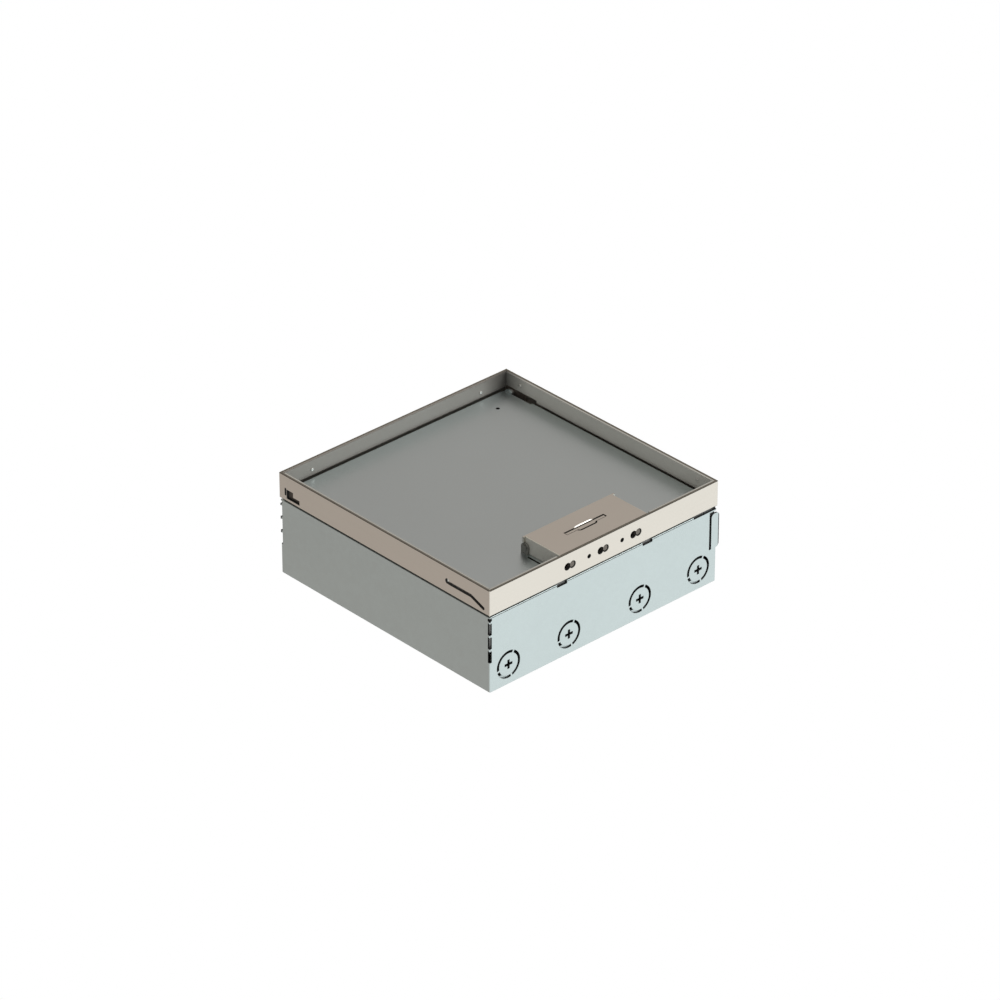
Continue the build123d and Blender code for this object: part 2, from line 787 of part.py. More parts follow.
def pull_handle():
    """Flush bar with a finger tab, on two legs with feet that stop it under the flap."""
    front = bar_y - bar_wide / 2
    rear = bar_y + bar_wide / 2
    low = height - handle_deep
    foot_top = low + handle_foot_thick
    left_leg = bar_left + handle_leg
    right_leg = bar_right - handle_leg
    tab = SlotOverall(finger_long - 2 * tab_gap, finger_wide - 2 * tab_gap)
    tab &= Pos(0, bar_y - finger_y - finger_wide) * Rectangle(2 * finger_long, 2 * finger_wide)
    handle = slab(bar_left, bar_right, front, rear, height - bar_thick, height)
    handle += Pos(finger_x, finger_y, height - bar_thick) * extrude(tab, bar_thick)
    handle += slab(bar_left, left_leg, front, rear, low, height)
    handle += slab(right_leg, bar_right, front, rear, low, height)
    handle += slab(bar_left - handle_foot, left_leg, front, rear, low, foot_top)
    return handle + slab(right_leg, bar_right + handle_foot, front, rear, low, foot_top)


# Device carrier and the modules in it

def device_carrier():
    """Folded bridge over the base with a window for each module."""
    leg_low = base_sheet + carrier_sheet
    leg_high = carrier_top - leg_low
    foot = (Align.CENTER, Align.MIN)
    outline = Rectangle(2 * carrier_half, leg_high, align=foot)
    outline -= Rectangle(2 * (carrier_half - carrier_sheet), leg_high - carrier_sheet, align=foot)
    plane = Plane(origin=(0, carrier_y + carrier_deep / 2, leg_low), x_dir=(1, 0, 0), z_dir=(0, -1, 0))
    bridge = extrude(plane * outline, carrier_deep)
    window = housing + 2 * module_play
    for x in module_places:
        bridge -= Pos(x, carrier_y, carrier_top) * Box(window, window, through)
    return bridge


def carrier_screw_places():
    """Middles of the screws that hold the foot strips of the carrier."""
    x = carrier_half + carrier_foot / 2
    reach = carrier_screw_pitch / 2
    return [(side * x, carrier_y + y) for side in (-1, 1) for y in (-reach, reach)]


def carrier_feet():
    """Foot strips welded under the legs of the carrier."""
    front = carrier_y - carrier_deep / 2
    rear = carrier_y + carrier_deep / 2
    inner = carrier_half - carrier_sheet
    strip = slab(inner, carrier_half + carrier_foot, front, rear, base_sheet, base_sheet + carrier_sheet)
    hole_r = carrier_screw_r + carrier_screw_play
    holes = [post(hole_r, x, y, 0, through) for x, y in carrier_screw_places() if x > 0]
    return both_sides(strip - holes)


def carrier_screws():
    """Screws through the foot strips."""
    seat = base_sheet + carrier_sheet
    screw = post(carrier_head_r, 0, 0, seat, seat + carrier_head)
    screw += post(carrier_screw_r, 0, 0, base_sheet, seat)
    return Compound([Pos(x, y, 0) * screw for x, y in carrier_screw_places()])


def module_body():
    """Flange and housing of a module, before its openings."""
    body = Pos(0, 0, carrier_top) * extrude(RectangleRounded(module, module, module_corner_r), flange_thick)
    block = extrude(RectangleRounded(housing, housing, housing_corner_r), housing_deep - flange_thick)
    return body + Pos(0, 0, module_top - housing_deep) * block


def power_socket(x):
    """Round recessed socket in a square module."""
    body = module_body() - post(recess_r, 0, 0, recess_bottom, module_top + past)
    pocket = sleeve + 2 * sleeve_play
    low = module_top - housing_deep
    for place in (-contact_spacing / 2, contact_spacing / 2):
        body -= post(contact_hole_r, place, 0, sleeve_top - past, recess_bottom + past)
        body -= Pos(place, 0, low - past) * extrude(Rectangle(pocket, pocket), sleeve_top - low + past)
    return Pos(x, carrier_y, 0) * body


def contact_sleeves():
    """Folded box springs under the contact holes."""
    inner = sleeve - 2 * sleeve_wall
    ring = extrude(Rectangle(sleeve, sleeve) - Rectangle(inner, inner), sleeve_long)
    sides = (-contact_spacing / 2, contact_spacing / 2)
    low = sleeve_top - sleeve_long
    return Compound([Pos(x + side, carrier_y, low) * ring for x in module_places[:-1] for side in sides])


def earth_clips():
    """Earth springs at two sides of each recess."""
    clip = Box(clip_wide, clip_thick, clip_high, align=(Align.CENTER, Align.CENTER, Align.MIN))
    reach = clip_off + clip_thick / 2
    places = [(x, carrier_y + y) for x in module_places[:-1] for y in (-reach, reach)]
    return Compound([Pos(x, y, recess_bottom) * clip for x, y in places])


def data_socket(x):
    """Square module with two jack openings."""
    body = module_body()
    front = -port_high / 2
    for place in (-port_pitch / 2, port_pitch / 2):
        left = place - port_wide / 2
        body -= slab(left, left + port_wide, front, -front, module_top - port_deep, module_top + past)
    return Pos(x, carrier_y, 0) * body


# Cable relief and earth

def strain_relief_rail():
    """Channel on the base that the cable clamps are screwed to."""
    foot = (Align.CENTER, Align.MIN)
    outline = Rectangle(rail_wide, rail_high, align=foot)
    outline -= Rectangle(rail_wide - 2 * rail_sheet, rail_high - rail_sheet, align=foot)
    return side_sheet(Pos(rail_y, base_sheet) * outline, -rail_long / 2, rail_long / 2)


def cable_clamps():
    """Saddles over the cables, one for each way."""
    arch = Circle(clamp_r + clamp_sheet) + Rectangle(2 * (clamp_r + clamp_foot), 2 * clamp_sheet)
    arch -= Circle(clamp_r)
    arch &= Pos(0, 2 * clamp_r) * Rectangle(6 * clamp_r, 4 * clamp_r)
    plane = Plane(origin=(0, rail_y + clamp_wide / 2, rail_top), x_dir=(1, 0, 0), z_dir=(0, -1, 0))
    saddle = extrude(plane * arch, clamp_wide)
    return Compound([Pos(x, 0, 0) * saddle for x in clamp_places])


def clamp_screws():
    """Screws of the saddles."""
    low = rail_top + clamp_sheet
    reach = clamp_r + (clamp_sheet + clamp_foot) / 2
    head = post(clamp_head_r, 0, rail_y, low, low + clamp_head)
    return Compound([Pos(x + side, 0, 0) * head for x in clamp_places for side in (-reach, reach)])


def earth_place():
    """Place of the earth stud on the base, in the left front part."""
    return Pos(earth_from_side - half, earth_from_front - half, base_sheet)


def earth_stud():
    """Welded stud on the base."""
    return earth_place() * post(earth_r, 0, 0, 0, earth_long)


def earth_nut():
    """Washer and nut on the earth stud."""
    bore = Circle(earth_r + running)
    washer = extrude(Circle(earth_washer_r) - bore, earth_washer)
    nut = Pos(0, 0, earth_washer) * extrude(hexagon(earth_nut_flats) - bore, earth_nut_high)
    return earth_place() * (washer + nut)


pieces = {
    "casing_walls": casing_walls(),
    "base_plate": base_plate(),
    "levelling_cups": levelling_cups(),
    "device_carrier": device_carrier(),
    "carrier_feet": carrier_feet(),
    "carrier_screws": carrier_screws(),
    "contact_sleeves": contact_sleeves(),
    "earth_clips": earth_clips(),
    "data_socket": data_socket(module_places[-1]),
    "strain_relief_rail": strain_relief_rail(),
    "cable_clamps": cable_clamps(),
    "clamp_screws": clamp_screws(),
    "earth_stud": earth_stud(),
    "earth_nut": earth_nut(),
    "frame_band": frame_band(),
    "rear_trim": rear_trim(),
    "right_trim": side_trim(),
    "left_trim": left_trim(),
    "front_trim_right": front_trim(),
    "front_trim_left": mirror(front_trim(), Plane.YZ),
    "trim_rivets": trim_rivets(),
    "lid_ledge": lid_ledge(),
    "lid_seal": lid_seal(),
    "collar": collar(),
    "levelling_lugs": levelling_lugs(),
    "levelling_nuts": levelling_nuts(),
    "hinge_bearing_right": hinge_bearing(),
    "hinge_bearing_left": mirror(hinge_bearing(), Plane.YZ),
    "outlet_bracket": outlet_bracket(),
    "outlet_studs": outlet_studs(),
    "outlet_lip": outlet_lip(),
    "lid_plate": lid_plate(),
    "hinge_pin_right": hinge_pin(),
    "hinge_pin_left": mirror(hinge_pin(), Plane.YZ),
    "lid_stiffeners": lid_stiffeners(),
    "stay_bracket": stay_bracket(),
    "stay_pivot": stay_pivot(),
    "flap_ears": both_sides(flap_ear()),
    "flap_pins": both_sides(flap_pin()),
    "cord_guard": cord_guard(),
    "lid_stay": lid_stay(),
    "stay_end_pin": stay_end_pin(),
    "cord_flap": cord_flap(),
    "pull_handle": pull_handle(),
}
for number, (x, y) in enumerate(level_places, 1):
    pieces[f"levelling_screw_{number}"] = levelling_screw(x, y)
for number, x in enumerate(module_places[:-1], 1):
    pieces[f"power_socket_{number}"] = power_socket(x)

os.makedirs("parts", exist_ok=True)
for name, piece in pieces.items():
    export_step(piece, f"parts/{name}.step")
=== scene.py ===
import json
import math

import bmesh
import bpy
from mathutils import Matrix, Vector

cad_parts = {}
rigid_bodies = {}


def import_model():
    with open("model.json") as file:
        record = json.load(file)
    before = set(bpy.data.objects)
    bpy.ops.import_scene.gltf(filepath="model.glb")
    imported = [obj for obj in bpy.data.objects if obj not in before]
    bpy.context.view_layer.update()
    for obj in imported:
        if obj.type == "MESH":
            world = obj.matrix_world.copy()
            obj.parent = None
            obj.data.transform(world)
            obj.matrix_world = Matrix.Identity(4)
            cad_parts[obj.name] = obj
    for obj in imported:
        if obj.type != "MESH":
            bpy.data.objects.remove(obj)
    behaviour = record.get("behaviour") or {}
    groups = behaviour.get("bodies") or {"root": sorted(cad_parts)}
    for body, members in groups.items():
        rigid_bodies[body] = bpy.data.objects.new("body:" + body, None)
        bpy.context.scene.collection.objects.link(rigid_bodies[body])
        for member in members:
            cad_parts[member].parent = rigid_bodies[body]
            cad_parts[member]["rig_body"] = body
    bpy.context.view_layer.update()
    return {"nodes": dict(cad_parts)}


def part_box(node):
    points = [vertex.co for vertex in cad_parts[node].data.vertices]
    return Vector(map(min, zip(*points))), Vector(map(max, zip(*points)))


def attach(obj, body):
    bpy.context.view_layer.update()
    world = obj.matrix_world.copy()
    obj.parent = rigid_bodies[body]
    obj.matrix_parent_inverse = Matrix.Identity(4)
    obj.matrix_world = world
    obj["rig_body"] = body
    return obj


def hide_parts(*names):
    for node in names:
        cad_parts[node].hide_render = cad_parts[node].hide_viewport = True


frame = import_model()

# Room, light and camera.
# The box stands on a plain white floor in even light, brightest on the side of the cord outlet and dim and
# a little warmer from the left. A long lens looks at it from the front left, 31 degrees above the floor.

view_azimuth = -42.844
view_elevation = 30.724
view_distance = 4.68195
view_aim = Vector((0.03001, 0.03029, 0.048))
view_lens = 202.1
floor_reach = 6.0
bright_side = Vector((0.25, -0.95, -0.32))
room_level = 0.75
room_slope = 0.45
dim_tint = (1.06, 0.955, 0.895)
bright_tint = (1.0, 1.0, 1.0)
tint_stops = ((0.2, dim_tint), (0.8, bright_tint))
key_place = Vector((1.6, -2.2, 1.9))
key_size = 1.6
key_power = 22.0


class Wire:
    """An output in a node tree. Maths on it adds Math nodes, and add() adds any other node."""

    def __init__(self, tree, socket=None):
        self.tree = tree
        self.socket = socket

    def add(self, kind, settings, sockets, output=0):
        """Adds a node: first its settings or its ramp's stops, then the values or links of its sockets."""
        node = self.tree.nodes.new(kind)
        for name, value in settings.items():
            if name == "stops":
                ramp = node.color_ramp.elements
                for spare in range(len(value) - 2):
                    ramp.new(1.0)
                for stop, (place, colour) in zip(ramp, value):
                    stop.position = place
                    stop.color = (*colour, 1.0)
            else:
                setattr(node, name, value)
        for name, value in sockets.items():
            for wire in value if isinstance(value, list) else [value]:
                if isinstance(wire, Wire):
                    self.tree.links.new(wire.socket, node.inputs[name])
                else:
                    node.inputs[name].default_value = wire
        return Wire(self.tree, node.outputs[output])

    def other(self, output):
        """Another output of the same node."""
        return Wire(self.tree, self.socket.node.outputs[output])

    def maths(self, operation, first, second):
        """One Math node."""
        return self.add("ShaderNodeMath", {"operation": operation}, {0: first, 1: second})

    def __add__(self, other):
        return self.maths("ADD", self, other)

    def __radd__(self, other):
        return self.maths("ADD", other, self)

    def __sub__(self, other):
        return self.maths("SUBTRACT", self, other)

    def __rsub__(self, other):
        return self.maths("SUBTRACT", other, self)

    def __mul__(self, other):
        return self.maths("MULTIPLY", self, other)

    def __rmul__(self, other):
        return self.maths("MULTIPLY", other, self)

    def __truediv__(self, other):
        return self.maths("DIVIDE", self, other)

    def __rtruediv__(self, other):
        return self.maths("DIVIDE", other, self)


scene = bpy.context.scene
scene.view_settings.view_transform = "Standard"

lens = bpy.data.cameras.new("camera")
lens.lens = view_lens
lens.clip_end = 4 * view_distance
camera = bpy.data.objects.new("camera", lens)
turn, rise = math.radians(view_azimuth), math.radians(view_elevation)
backward = Vector((math.sin(turn) * math.cos(rise), -math.cos(turn) * math.cos(rise), math.sin(rise)))
camera.location = view_aim + view_distance * backward
camera.rotation_euler = (math.pi / 2 - rise, 0, turn)
scene.collection.objects.link(camera)
scene.camera = camera

room = bpy.data.worlds.new("room")
room.use_nodes = True
room.node_tree.nodes.clear()
start = Wire(room.node_tree)
direction = start.add("ShaderNodeTexCoord", {}, {}, "Generated")
both_ways = {0: direction, 1: bright_side}
toward = start.add("ShaderNodeVectorMath", {"operation": "DOT_PRODUCT"}, both_ways, "Value")
tint = start.add("ShaderNodeValToRGB", {"stops": tint_stops}, {"Fac": toward * 0.5 + 0.5})
light = start.add("ShaderNodeBackground", {}, {"Color": tint, "Strength": toward * room_slope + room_level})
outlet = room.node_tree.nodes.new("ShaderNodeOutputWorld")
room.node_tree.links.new(light.socket, outlet.inputs["Surface"])
scene.world = room

key = bpy.data.lights.new("key", "AREA")
key.shape = "DISK"
key.size = key_size
key.energy = key_power
key_lamp = bpy.data.objects.new("key", key)
key_lamp.location = key_place
key_lamp.rotation_euler = (key_place - view_aim).to_track_quat("Z", "Y").to_euler()
scene.collection.objects.link(key_lamp)

white = bpy.data.materials.new("floor")
white.use_nodes = True
white.node_tree.nodes.clear()
glow = Wire(white.node_tree).add("ShaderNodeEmission", {}, {"Color": (1.0, 1.0, 1.0, 1.0), "Strength": 1.0})
outlet = white.node_tree.nodes.new("ShaderNodeOutputMaterial")
white.node_tree.links.new(glow.socket, outlet.inputs["Surface"])
grid = bmesh.new()
bmesh.ops.create_grid(grid, x_segments=1, y_segments=1, size=floor_reach)
floor_mesh = bpy.data.meshes.new("floor")
grid.to_mesh(floor_mesh)
grid.free()
floor_mesh.materials.append(white)
floor = bpy.data.objects.new("floor", floor_mesh)
scene.collection.objects.link(floor)
floor.visible_glossy = False
floor.visible_diffuse = False

# Casing walls.
# One strip of hot-dip galvanised sheet, punched flat and then folded round three corners. The zinc is a pale
# blue-green with a faint spangle, and the walls of the punched slots are bare, dull steel.

weld_gap = 0.00001
flat_angle = math.radians(0.5)
round_angle = math.radians(28)
corner_angle = math.radians(40)
round_ratio = 4
place_gap = 0.00003
square_on = 0.9
spangle_scale = 240.0
zinc = (0.54, 0.617, 0.615)
zinc_grime_and_shade = (0.16, 0.18, 0.175)
sheared = (0.03, 0.031, 0.03)
edge_reach = 0.00035
fine_reach = 0.5 * edge_reach
edge_contrast = 6.0
bevel_samples = 4
bump_high = 0.0001
casing_sheet = 0.0015
casing_break = 0.0005
casing_seam_shade_width = 0.0003
tongue_line = 0.0009

nodes = frame["nodes"]


def finish(name, colour, roughness, metallic, change):
    """A material whose colour, roughness and bump change over the surface as change() says."""
    material = bpy.data.materials.new(name)
    material.use_nodes = True
    tree = material.node_tree
    shader = tree.nodes["Principled BSDF"]
    shader.inputs["Metallic"].default_value = metallic
    start = Wire(tree)
    place = start.add("ShaderNodeTexCoord", {}, {}, "Object")
    for socket, wire in change(start, place, colour, roughness).items():
        tree.links.new(wire.socket, shader.inputs[socket])
    return material


def paint(node, material):
    """Gives a CAD node its material."""
    nodes[node].material_slots[0].material = material


def noise(start, place, scale, detail=2.0):
    """Soft noise from 0 to 1."""
    return start.add("ShaderNodeTexNoise", {}, {"Vector": place, "Scale": scale, "Detail": detail})


def shaded(start, colour, level):
    """A colour made darker or lighter by a number that changes over the surface."""
    scaled = start.add("ShaderNodeCombineXYZ", {}, {"X": level, "Y": level, "Z": level})
    return start.add("ShaderNodeVectorMath", {"operation": "MULTIPLY"}, {0: scaled, 1: colour})


def bumped(start, strength, height):
    """The bump of a surface, one tenth of a millimetre high at most."""
    return start.add("ShaderNodeBump", {}, {"Strength": strength, "Distance": bump_high, "Height": height})


def worn_and_shaded(start, colour, edge_colour, reach=edge_reach):
    """A colour that goes over into another one along sharp edges: grime along the outer edges, and painted
    shade in the inner creases, which the same mask darkens.
    """
    rounded = start.add("ShaderNodeBevel", {"samples": bevel_samples}, {"Radius": reach})
    flat = start.add("ShaderNodeNewGeometry", {}, {}, "True Normal")
    along = start.add("ShaderNodeVectorMath", {"operation": "DOT_PRODUCT"}, {0: rounded, 1: flat}, "Value")
    edge = start.maths("MINIMUM", (1.0 - along) * edge_contrast, 1.0)
    return start.add("ShaderNodeMix", {"data_type": "RGBA"}, {0: edge, 6: colour, 7: (*edge_colour, 1.0)}, 2)


def spangle(start, place, colour, roughness):
    """Zinc crystals: patches of slightly different grey, with a fine grain, dull along the edges."""
    crystals = start.add("ShaderNodeTexVoronoi", {}, {"Vector": place, "Scale": spangle_scale}, "Color")
    grey = start.add("ShaderNodeSeparateColor", {}, {"Color": crystals}, "Red")
    speck = noise(start, place, scale=1100.0)
    level = 0.925 + grey * 0.035 + speck * 0.07 + noise(start, place, scale=16.0) * 0.045
    skin = worn_and_shaded(start, shaded(start, colour, level), zinc_grime_and_shade)
    rough = roughness - 0.03 + grey * 0.06
    bump = bumped(start, strength=0.05, height=grey + speck)
    return {"Base Color": skin, "Roughness": rough, "Normal": bump}


def dragged(start, place, colour, roughness):
    """Edge left by the punch: fine drag marks and dull patches."""
    marks = noise(start, place, scale=2600.0, detail=3.0)
    level = 0.75 + marks * 0.3 + noise(start, place, scale=130.0) * 0.2
    return {"Base Color": shaded(start, colour, level), "Roughness": roughness + marks * 0.2}


galvanised = finish("galvanised_sheet", zinc, roughness=0.42, metallic=1.0, change=spangle)
bare_edge = finish("sheared_edge", sheared, roughness=0.55, metallic=0.6, change=dragged)


def merged(node):
    """The triangles of a CAD node as one connected mesh, with its flat faces joined."""
    shape = bmesh.new()
    shape.from_mesh(nodes[node].data)
    bmesh.ops.remove_doubles(shape, verts=shape.verts, dist=weld_gap)
    bmesh.ops.dissolve_limit(shape, angle_limit=flat_angle, verts=shape.verts, edges=shape.edges)
    return shape


def shade_rounds(shape):
    """Smooth shading on the small faces of rounds, flat shading elsewhere, and sharp edges between them."""
    for face in shape.faces:
        face.smooth = False
    for edge in shape.edges:
        angle = edge.calc_face_angle(math.pi)
        edge.smooth = angle < round_angle
        if flat_angle < angle < round_angle:
            small = min(face.calc_area() for face in edge.link_faces)
            for face in edge.link_faces:
                if face.calc_area() < round_ratio * small:
                    face.smooth = True


def break_edges(shape, width, material, segments, chosen):
    """Bevels the sharp edges whose middles are chosen. The new faces get the material of that number."""
    sharp = [edge for edge in shape.edges if edge.calc_face_angle(0) > corner_angle]
    edges = [edge for edge in sharp if chosen((edge.verts[0].co + edge.verts[1].co) / 2)]
    bmesh.ops.bevel(shape, geom=edges, offset=width, offset_type="OFFSET", segments=segments, profile=0.5,
                    affect="EDGES", clamp_overlap=False, material=material)


def dress(node, finishes, pick, *breaks, cut=None):
    """Replaces a CAD node by a copy with a finish for each kind of face and with broken edges.

    A cut is a point and a normal: the faces are divided there, so that each side has its own finish."""
    shape = merged(node)
    if cut:
        parts = [*shape.verts, *shape.edges, *shape.faces]
        bmesh.ops.bisect_plane(shape, geom=parts, dist=weld_gap, plane_co=cut[0], plane_no=cut[1])
    for face in shape.faces:
        face.material_index = pick(face.calc_center_median(), face.normal)
    for edges in breaks:
        break_edges(shape, *edges)
    shade_rounds(shape)
    mesh = bpy.data.meshes.new(node + "_dressed")
    shape.to_mesh(mesh)
    shape.free()
    for material in finishes:
        mesh.materials.append(material)
    piece = bpy.data.objects.new(node + "_dressed", mesh)
    scene.collection.objects.link(piece)
    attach(piece, nodes[node]["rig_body"])
    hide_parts(node)


def near(value, *places):
    """Whether a length lies at one of these places."""
    return any(abs(value - place) < place_gap for place in places)


def band_faces(outer, sheet, *ends):
    """For a square band: 0 on its skins, bends and ends, 1 on the walls of its holes."""
    inner = outer - sheet

    def pick(centre, normal):
        across = (abs(centre.x), abs(centre.y))
        corner = min(across) > inner - sheet
        leaning = min(abs(normal.x), abs(normal.y)) > 0.1 and normal.x * centre.x * normal.y * centre.y > 0
        skin = abs(normal.x) > square_on and near(across[0], outer, inner)
        skin = skin or abs(normal.y) > square_on and near(across[1], outer, inner)
        return 0 if skin or near(centre.z, *ends) or corner and leaning else 1

    return pick


casing_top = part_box("casing_walls")[1].z
casing_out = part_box("base_plate")[1].x + casing_sheet
tongue_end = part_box("casing_walls")[1].x - tongue_line
casing_pick = band_faces(casing_out, casing_sheet, casing_top, 0.0)


def casing_faces(centre, normal):
    """0 on the skins of the casing, 1 on the walls of its holes and along the ends of its tongues."""
    return 1 if centre.x > tongue_end else casing_pick(centre, normal)


def casing_rim(middle):
    """The outer edge of the casing's top, along the front and the rear."""
    return near(middle.z, casing_top) and near(abs(middle.y), casing_out)


def casing_seam_shade(middle):
    """The lower edge of the break along that edge, where a thin dark bevel is painted shadow of the seam
    under the frame.
    """
    return near(middle.z, casing_top - casing_break) and near(abs(middle.y), casing_out)


# The thin dark line of bare steel under the break of the casing's top edge is painted shadow of the seam
# under the frame.
dress("casing_walls", (galvanised, bare_edge), casing_faces, (casing_break, 0, 1, casing_rim),
      (casing_seam_shade_width, 1, 1, casing_seam_shade), cut=((tongue_end, 0, 0), (1, 0, 0)))

# Base plate.
# A tray of the same galvanised sheet, with its edges turned up against the walls and four holes for the
# screws in the raw floor.

paint("base_plate", galvanised)

# Levelling cups.
# Four moulded cups of black nylon on the base, which the tips of the levelling screws turn in.

black = (0.022, 0.022, 0.023)


def moulded(start, place, colour, roughness):
    """Spark-eroded mould surface."""
    grain = noise(start, place, scale=1500.0)
    skin = shaded(start, colour, 0.9 + noise(start, place, scale=30.0) * 0.2)
    rough = roughness + grain * 0.1
    bump = bumped(start, strength=0.12, height=grain)
    return {"Base Color": skin, "Roughness": rough, "Normal": bump}


black_nylon = finish("black_plastic", black, roughness=0.42, metallic=0.0, change=moulded)
paint("levelling_cups", black_nylon)

# Device carrier.
# A folded bridge of galvanised sheet with a square window for each module, on two foot strips.

paint("device_carrier", galvanised)
paint("carrier_feet", galvanised)

# Screws of the carrier and of the cable clamps.
# Zinc-plated pan-head screws with a cross recess and a short shank, which sit on the foot strips of the
# carrier and on the saddles.

plating = (0.60, 0.60, 0.575)
plating_grime_and_shade = (0.17, 0.165, 0.15)
dome_steps = ((0.32, 0.93), (0.18, 0.84), (0.10, 0.7))
dome_sides = 24
skirt_share = 0.4
recess_long = 1.1
recess_wide = 0.3
recess_deep = 0.9
shank_sides = 16
shank_radius = 0.002
shank_least = 0.0005
up = (0, 0, 1)


def plated(start, place, colour, roughness):
    """Bright zinc with faint clouds and dull edges."""
    cloud = noise(start, place, scale=60.0, detail=3.0)
    level = 0.9 + cloud * 0.14 + noise(start, place, scale=900.0) * 0.04
    skin = worn_and_shaded(start, shaded(start, colour, level), plating_grime_and_shade, fine_reach)
    return {"Base Color": skin, "Roughness": roughness - 0.05 + cloud * 0.12}


zinc_plate = finish("zinc_fittings", plating, roughness=0.28, metallic=1.0, change=plated)


def solids(node):
    """The lowest and highest corners of each separate solid of a CAD node."""
    shape = merged(node)
    found, seen = [], set()
    for first in shape.verts:
        group, ahead = [], [first]
        while ahead:
            vert = ahead.pop()
            if vert not in seen:
                seen.add(vert)
                group.append(vert.co.copy())
                ahead.extend(edge.other_vert(vert) for edge in vert.link_edges)
        if group:
            found.append((Vector(map(min, zip(*group))), Vector(map(max, zip(*group)))))
    shape.free()
    return found


def points(places, facings):
    """A mesh of loose points, each with the direction that its copy faces."""
    mesh = bpy.data.meshes.new("points")
    mesh.from_pydata(places, [], [])
    facing = mesh.attributes.new("facing", "FLOAT_VECTOR", "POINT")
    for item, direction in zip(facing.data, facings):
        item.vector = direction
    return mesh


def grown(name, mesh, sizes, build, material, body):
    """Grows a Geometry Nodes tree with named sizes on a mesh, and keeps the result as a piece."""
    tree = bpy.data.node_groups.new(name, "GeometryNodeTree")
    tree.interface.new_socket("Geometry", in_out="INPUT", socket_type="NodeSocketGeometry")
    tree.interface.new_socket("Geometry", in_out="OUTPUT", socket_type="NodeSocketGeometry")
    sockets = {}
    for size in sizes:
        sockets[size] = tree.interface.new_socket(size, in_out="INPUT", socket_type="NodeSocketFloat")
    entry = tree.nodes.new("NodeGroupInput")
    given = {size: Wire(tree, entry.outputs[size]) for size in sizes}
    shape = build(Wire(tree, entry.outputs["Geometry"]), given)
    real = shape.add("GeometryNodeRealizeInstances", {}, {"Geometry": shape})
    painted = real.add("GeometryNodeSetMaterial", {}, {"Geometry": real, "Material": material})
    leaving = tree.nodes.new("NodeGroupOutput")
    tree.links.new(painted.socket, leaving.inputs["Geometry"])
    piece = bpy.data.objects.new(name, mesh)
    modifier = piece.modifiers.new(name, "NODES")
    modifier.node_group = tree
    for size, value in sizes.items():
        modifier[sockets[size].identifier] = value
    scene.collection.objects.link(piece)
    evaluated = piece.evaluated_get(bpy.context.evaluated_depsgraph_get())
    result = bpy.data.meshes.new_from_object(evaluated)
    piece.modifiers.remove(modifier)
    piece.data = result
    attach(piece, body)
    return piece


def on_points(base, piece):
    """Copies of a piece on points, each turned to its point's facing."""
    facing = base.add("GeometryNodeInputNamedAttribute", {"data_type": "FLOAT_VECTOR"}, {"Name": "facing"})
    turned = base.add("FunctionNodeAlignRotationToVector", {"axis": "Z"}, {"Vector": facing})
    copies = {"Points": base, "Instance": piece, "Rotation": turned}
    return base.add("GeometryNodeInstanceOnPoints", {}, copies)


def moved(piece, x, y, z):
    """A piece moved by three lengths."""
    offset = piece.add("ShaderNodeCombineXYZ", {}, {"X": x, "Y": y, "Z": z})
    return piece.add("GeometryNodeTransform", {}, {"Geometry": piece, "Translation": offset})


def rod(base, sides, radius, depth):
    """A cylinder about the middle of its axis."""
    return base.add("GeometryNodeMeshCylinder", {}, {"Vertices": sides, "Radius": radius, "Depth": depth})


def domed(base, radius, height, tool):
    """A head with a low dome, cut by another shape."""
    skirt = height * skirt_share
    head = rod(base, dome_sides, radius, skirt)
    top = head.other("Top")
    for share, scale in dome_steps:
        raising = {"Mesh": head, "Selection": top, "Offset Scale": height * share}
        head = head.add("GeometryNodeExtrudeMesh", {"mode": "FACES"}, raising)
        top = head.other("Top")
        head = head.add("GeometryNodeScaleElements", {}, {"Geometry": head, "Selection": top, "Scale": scale})
    head = moved(head, 0.0, 0.0, skirt * 0.5)
    tool = moved(tool, 0.0, 0.0, height)
    cutting = {"Mesh 1": head, "Mesh 2": [tool]}
    return head.add("GeometryNodeMeshBoolean", {"operation": "DIFFERENCE"}, cutting)


def cross_screw(base, given):
    """Pan-head screw with a cross recess and a plain shank."""
    long, wide = given["Head radius"] * recess_long, given["Head radius"] * recess_wide
    deep = given["Head height"] * recess_deep
    flat = base.add("ShaderNodeCombineXYZ", {}, {"X": long, "Y": wide, "Z": deep})
    tall = base.add("ShaderNodeCombineXYZ", {}, {"X": wide, "Y": long, "Z": deep})
    bars = [base.add("GeometryNodeMeshCube", {}, {"Size": size}) for size in (flat, tall)]
    cross = base.add("GeometryNodeMeshBoolean", {"operation": "UNION"}, {"Mesh 2": bars})
    head = domed(base, given["Head radius"], given["Head height"], cross)
    length = given["Shank length"]
    shank = moved(rod(base, shank_sides, given["Shank radius"], length), 0.0, 0.0, length * -0.5)
    return on_points(base, base.add("GeometryNodeJoinGeometry", {}, {"Geometry": [head, shank]}))


def add_screws(node, shank):
    """Replaces a CAD node of plain screws by pan-head screws with heads of the same size."""
    boxes = solids(node)
    low, high = boxes[0]
    head = high.z - low.z - shank
    seats = [((a.x + b.x) / 2, (a.y + b.y) / 2, b.z - head) for a, b in boxes]
    sizes = {"Head radius": (high.x - low.x) / 2, "Head height": head, "Shank radius": shank_radius,
             "Shank length": max(shank, shank_least)}
    piece = grown(node + "_crossed", points(seats, [up] * len(seats)), sizes, cross_screw, zinc_plate,
                  nodes[node]["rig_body"])
    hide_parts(node)


add_screws("carrier_screws", shank=casing_sheet)
add_screws("clamp_screws", shank=0.0)

# Power sockets and data socket.
# White moulded modules, 45 mm square, that snap into the carrier. Folded brass sleeves and earth springs sit
# in the sockets, and each data jack has a row of eight wires with the same finish.

